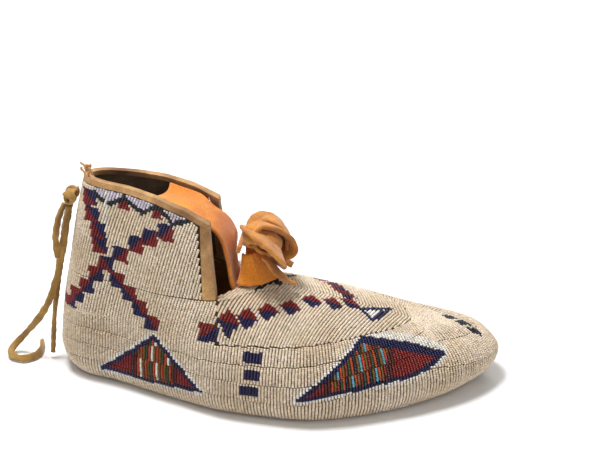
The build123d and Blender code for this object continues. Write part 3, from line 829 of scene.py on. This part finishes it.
# lobes folded flat, one over the other, running forwards and to both sides
bits.append(strip(bez(loc([(-4, 1, 0.5), (-8, -6, 4.2), (-3, -12.5, 5.6), (6, -13.5, 3.0), (13, -10.5, -1.8), (9, -4, -4.6), (0, 1, -2)])),
                  lambda t: 13.5 + 2.4 * np.sin(3.1 * t), 3.6, first=ux, seed=31, rough=0.28, step=0.8))
bits.append(strip(bez(loc([(-3, -2, 1), (-4.5, 6, 5.6), (2, 12.5, 5.8), (9, 12, 2.2), (12, 6.5, -3.6), (5, 3, -4.6), (-2, -1, -1.8)])),
                  lambda t: 13.0 + 2.2 * np.sin(3.1 * t + 0.4), 3.6, first=ux, seed=32, rough=0.28, step=0.8))
bits.append(strip(bez(loc([(-7.6, -7, 2.5), (-4, -3, 7.6), (5, -1, 8.2), (13, 1.5, 4.8), (17.5, 2.5, -1.0), (13, 2, -5.4)])),
                  lambda t: 12.0 + 1.6 * np.sin(6 * t), 3.4, first=(0, 1, 0), seed=33, rough=0.25, step=0.8))
bits.append(strip(bez(loc([(-8, 5, 1.5), (-3, 8, 6.6), (5, 7.5, 7.4), (12, 5.5, 3.6), (14.5, 4.5, -3.0)])),
                  lambda t: 8.8 + 1.4 * np.sin(7 * t), 3.2, first=(0, 1, 0), seed=36, rough=0.25, step=0.8))
bits.append(strip(bez(loc([(3, -4, 1), (-4, -9, 5.4), (-8.4, -11.5, 4.6), (-9.4, -7, 0.5), (-7.6, -3, -3.0), (-3, -1, -2)])),
                  lambda t: 11.5 + 1.2 * np.sin(5 * t), 3.4, first=(0.3, 1, 0), seed=37, rough=0.28, step=0.8))
bits.append(strip(bez(loc([(2, 3, 2), (-5, 8, 5.8), (-8.6, 10.5, 3.4), (-9.0, 5, -0.5), (-5, 2, -2)])),
                  lambda t: 10.5 + 1.2 * np.sin(5 * t), 3.4, first=(0.3, 1, 0), seed=38, rough=0.28, step=0.8))
# wraps
bits.append(strip(loop_path(KN + Y * 0.6 - ux * 1.5, ux, uz, 7.6, 7.0, 0.3, 6.9, lift=-2.4), 11.5, 3.4, first=(0, 1, 0), seed=34, rough=0.24, step=0.7))
bits.append(strip(loop_path(KN - Y * 4.4 + ux * 3, ux, uz, 7.2, 5.8, 2.8, 8.6, lift=3.0), 8.4, 3.2, first=(0, 1, 0), seed=35, rough=0.22, step=0.7))
V, F = join(bits)
mesh_object("tie_knot_folds", V, F, "tie", "tie", nodes=("tie_knot",))
# ends
V, F = join([strip(bez([(-6.5, -10.5, 86.0), (-3.0, -10.6, 83.6), (2.0, -10.8, 76.5), (7.0, -11.2, 72.6), (13.4, -11.6, 70.3)]),
                   lambda t: 6.6 - 1.8 * smooth((t - 0.7) / 0.3), 2.1, lambda t: 0.5 * np.sin(4 * t) - 0.2, first=(0, 1, 0), seed=41, rough=0.2, step=0.7)])
mesh_object("tie_end_lateral_hide", V, F, "tie", "tie", nodes=("tie_end_lateral",))
V, F = join([strip(bez([(-6.5, 9.5, 86.2), (-3.0, 9.6, 84.0), (1.0, 9.6, 77.5), (4.0, 9.4, 74.4), (8.6, 9.0, 71.6)]),
                   lambda t: 6.4 - 1.6 * smooth((t - 0.7) / 0.3), 2.1, lambda t: -0.4 * np.sin(4 * t), first=(0, 1, 0), seed=42, rough=0.2, step=0.7)])
mesh_object("tie_end_medial_hide", V, F, "tie", "tie", nodes=("tie_end_medial",))
set_mat("tie_band", "tie")

# ------------------------------------------------------------------ hide parts that keep their CAD shape
set_mat("upper_hide", "body")
set_mat("ankle_flap_hide_lateral", "inner")
set_mat("ankle_flap_hide_medial", "inner")
for k in ("lateral", "medial"):
    set_mat("front_binding_" + k, "edge")
    set_mat("top_binding_" + k, "edge")
set_mat("heel_seam_welt", "edge")
set_mat("sole_seam_rand", "body")
set_mat("sole_rawhide", "raw")

# ------------------------------------------------------------------ bead patterns, in side view (x, z)


def sdist(px, pz, poly):
    """signed distance to a polygon, positive inside"""
    q = np.array(poly, float)
    d = np.full(px.shape, 1e9)
    ins = np.zeros(px.shape, bool)
    for i in range(len(q)):
        a, b = q[i], q[(i + 1) % len(q)]
        e = b - a
        t = np.clip(((px - a[0]) * e[0] + (pz - a[1]) * e[1]) / (e @ e), 0, 1)
        d = np.minimum(d, np.hypot(px - a[0] - t * e[0], pz - a[1] - t * e[1]))
        c = ((a[1] > pz) != (b[1] > pz)) & (px < (b[0] - a[0]) * (pz - a[1]) / (b[1] - a[1] + 1e-12) + a[0])
        ins ^= c
    return np.where(ins, d, -d)


XB = [(-61, 102.2), (-70.6, 97.5), (-79.3, 91.8), (-89, 83.8), (-97.8, 76.5), (-90.9, 68.2), (-83.4, 61.5), (-76.5, 55),
      (-68.9, 48.5), (-101.9, 86.5), (-102.9, 95.5), (-106.8, 104), (-108.5, 113.5), (-104.3, 69.5), (-110.3, 60.8),
      (-117, 53.5), (-122.2, 45.8)]
ZIG = np.array([(-106, 117.5), (-97, 111.5), (-87, 116.2), (-76.1, 110.2), (-66, 115.5), (-56.9, 107.5), (-43.7, 112.2), (-33.4, 105.5)])


def ankle_colours(p):
    x, z = p[:, 0], p[:, 2]
    c = np.array(["iv"] * len(x), dtype=object)
    zz = np.interp(x, ZIG[:, 0], ZIG[:, 1])
    inside = (x > -104) & (x < -31)
    c[inside & (z > zz + 1.3)] = "lav"
    c[inside & (np.abs(z - zz) < 1.45)] = "teal"
    for px_, pz_ in ((-87, 112.4), (-66, 111.8)):
        c[(np.abs(x - px_) < 3.4) & (z > pz_ - 2.6) & (z < zz - 1.4) & (np.abs(x - px_) < (zz - z))] = "red"
    c[(np.abs(x + 98) < 1.1) & (z > 97)] = "wh"
    for i, (bx, bz) in enumerate(XB):
        dx, dz = (x - bx) / 4.5, (z - bz) / 4.6
        k = (np.abs(dx) < 1) & (np.abs(dz) < 1)
        # which corner of the block is blue: by arm
        sx, sz = (-1, 1) if i < 4 else (1, 1) if i == 4 or 9 <= i <= 12 else (-1, -1) if i < 9 else (1, -1)
        blue = dx * sx + dz * sz > 0
        c[k & blue] = "blue"
        c[k & ~blue] = "red"
    k = (np.abs(x + 34.5) < 5.2) & (np.abs(z - 50.5) < 4.8)
    c[k] = "blue"
    c[k & ((z - 50.5) - (x + 34.5) * 0.6 > 0)] = "red"
    return list(c)


TRI_R = [(-102, 9.5), (-67.3, 40.5), (-38.9, 14), (-70, 10.5)]
TRI_F = [(19.0, 18.0), (53.2, 45.0), (99.5, 30.2), (92.6, 27.0), (82.5, 24.6), (66.1, 23.6), (54.6, 22.8)]
TOE = [(100.5, 24.3), (108.5, 20.7), (116.0, 15.8)]
RECTS = [(-7.4, 40.0), (-8.0, 30.6), (-9.2, 20.8)]


def side_colours(p, k):
    x, z = p[:, 0], p[:, 2]
    inner = p[:, 1] > np.interp(x, _xs, _c)
    z = np.where(inner, 10 + (z - 10) / 0.72, z)
    c = np.array(["iv"] * len(x), dtype=object)
    for poly, ap_, base in ((TRI_R, -67.3, ("olv", "org", "olv", "grn", "org", "wh")), (TRI_F, 53.2, ("org", "olv", "red", "grn", "org", "teal", "olv", "lt"))):
        s = sdist(x, z, poly)
        c[(s > -2.6) & (s <= -0.9)] = "wh"
        inn = s > 1.5
        wide = 11 if poly is TRI_R else 15
        left = inn & (x < ap_ - wide)
        rightm = inn & (x > ap_ + wide)
        c[inn] = base[k % len(base)]
        c[left | rightm] = "red"
        c[left & (x < ap_ - wide) & (x > ap_ - wide - 3.6)] = "dred"
        c[rightm & (x < ap_ + wide + 3.6)] = "dred"
        c[(s > -0.9) & (s <= 1.5)] = "blue"
    for bx, bz in RECTS:
        dx, dz = np.abs(x - bx), np.abs(z - bz)
        c[(dx < 4.9) & (dz < 2.7)] = "blue"
    for bx, by in TOE:
        c[np.abs(x - bx) / 5.4 + np.abs(p[:, 1] - by) / 3.4 < 1] = "navy"
    return list(c)


VD = [(-22.4, -36.1), (-12.1, -32.5), (-1, -27.2), (11.6, -22.1), (22.8, -12.8), (34.7, -8.7), (44.2, -1.6)]
VF = [(32.4, 17.2), (37, 10.5), (41.2, 7.1)]


def vamp_colours(p):
    x, y = p[:, 0], p[:, 1]
    c = np.array(["iv"] * len(x), dtype=object)
    arms = VD + [(41.2, 7.1), (37, 10.5), (32.4, 17.2), (24, 23.5), (13.5, 30), (3, 36), (-8, 41), (-18, 45)]
    for i, (bx, by) in enumerate(arms):
        # squares set on a corner along the arm
        dx, dy = x - bx, y - by
        k = np.abs(dx) / 6.4 + np.abs(dy) / 5.6 < 1
        # upper half red, lower half blue
        c[k & (dy * np.sign(7 - by if abs(7 - by) > 1 else 1) > 0)] = "red"
        c[k & (dy * np.sign(7 - by if abs(7 - by) > 1 else 1) <= 0)] = "blue"
    # toe motif and small outlined triangle
    for bx, by in TOE:
        c[np.abs(x - bx) / 5.4 + np.abs(y - by) / 3.4 < 1] = "navy"
    s = sdist(x, y, [(49.5, -3.5), (67.6, 12.0), (58.2, -9.0)])
    c[s > -0.9] = "blue"
    c[s > 1.6] = "wh"
    # cross at the throat
    s = sdist(x, y, [(-11.6, -14.4), (-10.2, -15.2), (11.0, 16.3), (9.8, 17.1)])
    c[s > -0.5] = "teal"
    s = sdist(x, y, [(-5.4, 2.4), (-3.2, 5.2), (4.2, -3.0), (2.2, -5.8)])
    c[s > -0.4] = "teal"
    # corner square by the throat
    k = (np.abs(x + 33) < 5) & (np.abs(y + 40.3) < 5)
    c[k] = "blue"
    return list(c)


# ------------------------------------------------------------------ lanes round the sides
cal1 = [(-125, 14.5), (20, 15.0), (60, 22.5), (80, 26), (95, 28), (110, 26), (128, 24)]
LB1 = lambda x: np.interp(x, [q[0] for q in cal1], [q[1] for q in cal1])
ZB3 = lambda x: np.interp(x, [-130, -26, 8, 35, 56, 78, 100, 130], [43.5, 43.9, 45.2, 46.3, 45.3, 41.5, 36.6, 36.0])
V1 = np.zeros(NS)
V4 = np.zeros(NS)
for i in range(NS):
    pz = PROF[i]
    zs, xs_ = pz[:, 2], pz[:, 0]
    v = np.linspace(0, PLEN[i], NV)
    V1[i] = LB1(ST_P[i][0])
    ok = np.nonzero(zs >= ZB3(xs_))[0]
    V4[i] = v[ok[0]] if len(ok) else PLEN[i]
for _ in range(6):
    V4 = (np.roll(V4, 1) + 2 * V4 + np.roll(V4, -1)) / 4
V4 = np.minimum(V4, PLEN - 0.5)
V1 = np.minimum(V1, V4 - 20)


def lane(name, node, f0, f1, nb, gap=0.22, pitch=1.86):
    """strings across a lane between the fractions f0 and f1 (functions of the station)"""
    B = Beads(name, "root", "beads", (node,))
    # spacing by the lane's own middle line
    mid = np.array([surf(i, np.array([(f0(i) + f1(i)) / 2]))[0] for i in range(NS)])
    midl = np.vstack([mid, mid[:1]])
    am = arc(midl)
    n = int(am[-1] / pitch)
    for k in range(n):
        si = np.interp((k + 0.5) * am[-1] / n, am, np.arange(NS + 1))
        i0 = int(si) % NS
        a0, a1 = f0(i0), f1(i0)
        v = np.linspace(a0 + gap, a1 - gap, 14)
        p = surf(si, v)
        x, y = p[:, 0], p[:, 1]
        # the heel seam's welt stays free
        if x.mean() < -100 and abs(y.mean() - 9.93) < 3.2 and f0(i0) > 30:
            continue
        L_ = arc(p)[-1]
        m = nb if nb else max(2, int(round(L_ / 1.24)))
        m = max(2, int(round(L_ / 1.22))) if L_ > nb * 1.34 or L_ < nb * 1.08 else nb
        pc = at(p, arc(p), (np.arange(m) + 0.5) * L_ / m)
        cols = side_colours(pc, k)
        B.string(p, m, cols, lift=lambda t: 0.22 * np.sin(math.pi * t))
    B.build()


lane("edge_lane_beads", "edge_lane_beadwork", lambda i: 0.3, lambda i: V1[i % NS], 10, pitch=1.97)
w3 = lambda i, q: V1[i % NS] + (V4[i % NS] - V1[i % NS]) * q / 3
lane("side_lane_1_beads", "side_lane_1_beadwork", lambda i: w3(i, 0), lambda i: w3(i, 1), 9)
lane("side_lane_2_beads", "side_lane_2_beadwork", lambda i: w3(i, 1), lambda i: w3(i, 2), 9)
lane("side_lane_3_beads", "side_lane_3_beadwork", lambda i: w3(i, 2), lambda i: w3(i, 3), 9)

# ------------------------------------------------------------------ vamp: strings in chevrons that point to the toe
B = Beads("vamp_beads", "root", "beads", ("vamp_beadwork",))
EDGE4 = np.array([surf(i, np.array([V4[i] + 0.1]))[0][:2] for i in range(0, NS, 3)])
S3IN = Shape(3.7)
THROAT_IN = S3IN.loop(66.0, 240)
for k in range(int(140 / 1.87)):
    xc = -40 + k * 1.87 + 6
    cy = float(np.interp(xc, _xs, _c))
    dy = np.arange(-62, 62.1, 0.35)
    pts = []
    runs = []
    xx = xc - 0.33 * np.abs(dy) - 0.002 * dy * dy
    yy = cy + dy
    in4 = sdist(xx, yy, EDGE4)
    inth = sdist(xx, yy, THROAT_IN)
    for x, y, e4, th_ in zip(xx, yy, in4, inth):
        h = TREE.ray_cast(Vector((x, y, 90)), Vector((0, 0, -1)), 200)
        ok = h[0] is not None and e4 > 0.05 and th_ < -0.8 and x > -29.5
        if ok:
            q = list(h[0][:])
            if q[2] > 65.85:
                q[2] = 66.55
            pts.append(q)
        elif pts:
            runs.append(np.array(pts))
            pts = []
    if pts:
        runs.append(np.array(pts))
    for p in runs:
        if len(p) < 4:
            continue
        L_ = arc(p)[-1]
        m = int(round(L_ / 1.24))
        if m < 2:
            continue
        pc = at(p, arc(p), (np.arange(m) + 0.5) * L_ / m)
        B.string(p, m, vamp_colours(pc))
B.build()

# ------------------------------------------------------------------ ankle and quarter: upright strings
RIM = [(-111.0, 124.0), (-85.0, 121.8), (-67.0, 119.6), (-50.0, 115.5), (-35.0, 109.5)]
RIMF = lambda x: np.interp(x, [q[0] for q in RIM], [q[1] for q in RIM])
S0 = Shape(0.0)
LV = np.concatenate([np.arange(42.0, 66, 0.5), np.arange(66, 127, 0.5)])
SIDE = {}
for sgn, kname in ((-1, "lateral"), (1, "medial")):
    cur = []
    for z in LV:
        lp = S0.loop(float(z), 1440)
        h = lp[720:] if sgn < 0 else lp[:721][::-1]
        a = arc(h)
        cur.append(at(h, a, np.arange(0, 150, 1.0)))
    SIDE[kname] = np.array(cur)


class UpTree(Beads):
    tree = bvh_of(grid(0.0, np.concatenate([np.arange(40, 66, 2.0), np.arange(66, 131, 2.0)]), 240))

    def centre(self, c):
        return np.column_stack([np.clip(c[:, 0], -95, -20), np.full(len(c), 9.93), c[:, 2]])


for sgn, kname in ((-1, "lateral"), (1, "medial")):
    G = SIDE[kname]
    Q = UpTree("quarter_beads_" + kname, "root", "beads", ("quarter_beadwork_" + kname,))
    A = UpTree("ankle_beads_" + kname, kname + "_flap", "beads", ("ankle_beadwork_" + kname,))
    for k in range(70):
        s = 3.3 + k * 1.87
        if s > 148:
            break
        i = int(s)
        f = s - i
        p = G[:, i] * (1 - f) + G[:, i + 1] * f
        xyz = np.column_stack([p, LV])
        # quarter
        z0 = ZB3(xyz[:, 0]) - 0.1
        kq = (LV > z0) & (LV < 66.1) & (xyz[:, 0] < -29.8)
        if kq.sum() > 2:
            r = xyz[kq]
            r = r[np.argsort(r[:, 2])]
            L_ = arc(r)[-1]
            m = max(2, int(round(L_ / 1.24)))
            pc = at(r, arc(r), (np.arange(m) + 0.5) * L_ / m)
            Q.string(r, m, ankle_colours(pc))
        zt = RIMF(xyz[:, 0]) - 3.5
        xf = np.interp(LV, [66, 109.5], [-31, -35]) - 7.4
        ka = (LV > 66.4) & (LV < zt) & (xyz[:, 0] < xf)
        if ka.sum() > 2:
            r = xyz[ka]
            L_ = arc(r)[-1]
            m = max(2, int(round(L_ / 1.24)))
            pc = at(r, arc(r), (np.arange(m) + 0.5) * L_ / m)
            A.string(r, m, ankle_colours(pc))
    Q.build()
    A.build()

# ------------------------------------------------------------------ sole: strings across, worked in bands, with stepped trapezoids
S2_ = Shape(2.1)
lp = S2_.loop(0.75, 720)


def sole_colours(p, field):
    x, y = p[:, 0], p[:, 1]
    c = np.array(["iv"] * len(x), dtype=object)
    cy = np.interp(x, _xs, _c)
    for bx in ((-95, -62, -34) if field == 0 else (6, 40, 74)):
        for sy in (-1, 1):
            by = cy + sy * 15
            dx, dy = np.abs(x - bx), sy * (y - by)
            half_ = 9.5 - 0.32 * (dy + 9)
            s = np.minimum(half_ - dx, 9 - np.abs(dy))
            c[s > 0] = "blue"
            c[s > 1.9] = "grn"
    return list(c)


class Sole(Beads):
    def centre(self, c):
        return np.column_stack([c[:, 0], c[:, 1], np.full(len(c), 30.0)])


for f, nm, x0, x1 in ((0, "heel", -125.0, -14.7), (1, "forefoot", -13.3, 121.0)):
    B = Sole("sole_beads_" + nm, "root", "sole_beads", ("sole_beadwork_" + nm,))
    n = int((x1 - x0) / 1.95)
    for k in range(n):
        x = x0 + (k + 0.5) * (x1 - x0) / n
        ys = []
        for i in range(len(lp)):
            a, b = lp[i], lp[(i + 1) % len(lp)]
            if (a[0] - x) * (b[0] - x) < 0:
                ys.append(a[1] + (b[1] - a[1]) * (x - a[0]) / (b[0] - a[0]))
        if len(ys) < 2:
            continue
        y0, y1 = min(ys) + 0.1, max(ys) - 0.1
        if y1 - y0 < 3:
            continue
        y = np.linspace(y0, y1, 24)
        p = np.column_stack([np.full(24, x), y, np.full(24, 0.0)])
        m = int(round((y1 - y0) / 1.42))
        pc = at(p, arc(p), (np.arange(m) + 0.5) * (y1 - y0) / m)
        B.string(p, m, sole_colours(pc, f), r=0.80, flat=0.93)
    B.build()

# ------------------------------------------------------------------ floor and light
bpy.ops.mesh.primitive_plane_add(size=6, location=(0, 0, -0.0002))
floor = bpy.context.object
floor.name = "studio_floor"
fm, nt, b = material("studio_floor")
b.inputs["Base Color"].default_value = (0.93, 0.93, 0.93, 1)
b.inputs["Roughness"].default_value = 0.7
floor.data.materials.append(fm)

w = bpy.data.worlds.new("w") if bpy.context.scene.world is None else bpy.context.scene.world
bpy.context.scene.world = w
w.use_nodes = True
w.node_tree.nodes["Background"].inputs["Color"].default_value = (1, 1, 1, 1)
w.node_tree.nodes["Background"].inputs["Strength"].default_value = 0.38


def area(name, loc_, target, size, power, color=(1, 1, 1)):
    d = bpy.data.lights.new(name, "AREA")
    d.shape = "DISK"
    d.size = size
    d.energy = power
    d.color = color
    o = bpy.data.objects.new(name, d)
    bpy.context.scene.collection.objects.link(o)
    o.location = loc_
    o.rotation_euler = (Vector(target) - Vector(loc_)).to_track_quat("-Z", "Y").to_euler()
    return o


area("key", (-0.30, 0.05, 1.3), (0, 0, 0.05), 0.42, 17.5)
area("fill", (0.7, -0.9, 0.8), (0, 0, 0.05), 0.9, 2)
area("rim", (0.2, 1.0, 0.9), (0, 0, 0.06), 0.6, 3)
bpy.context.scene.view_settings.view_transform = "Standard"

bpy.context.view_layer.update()
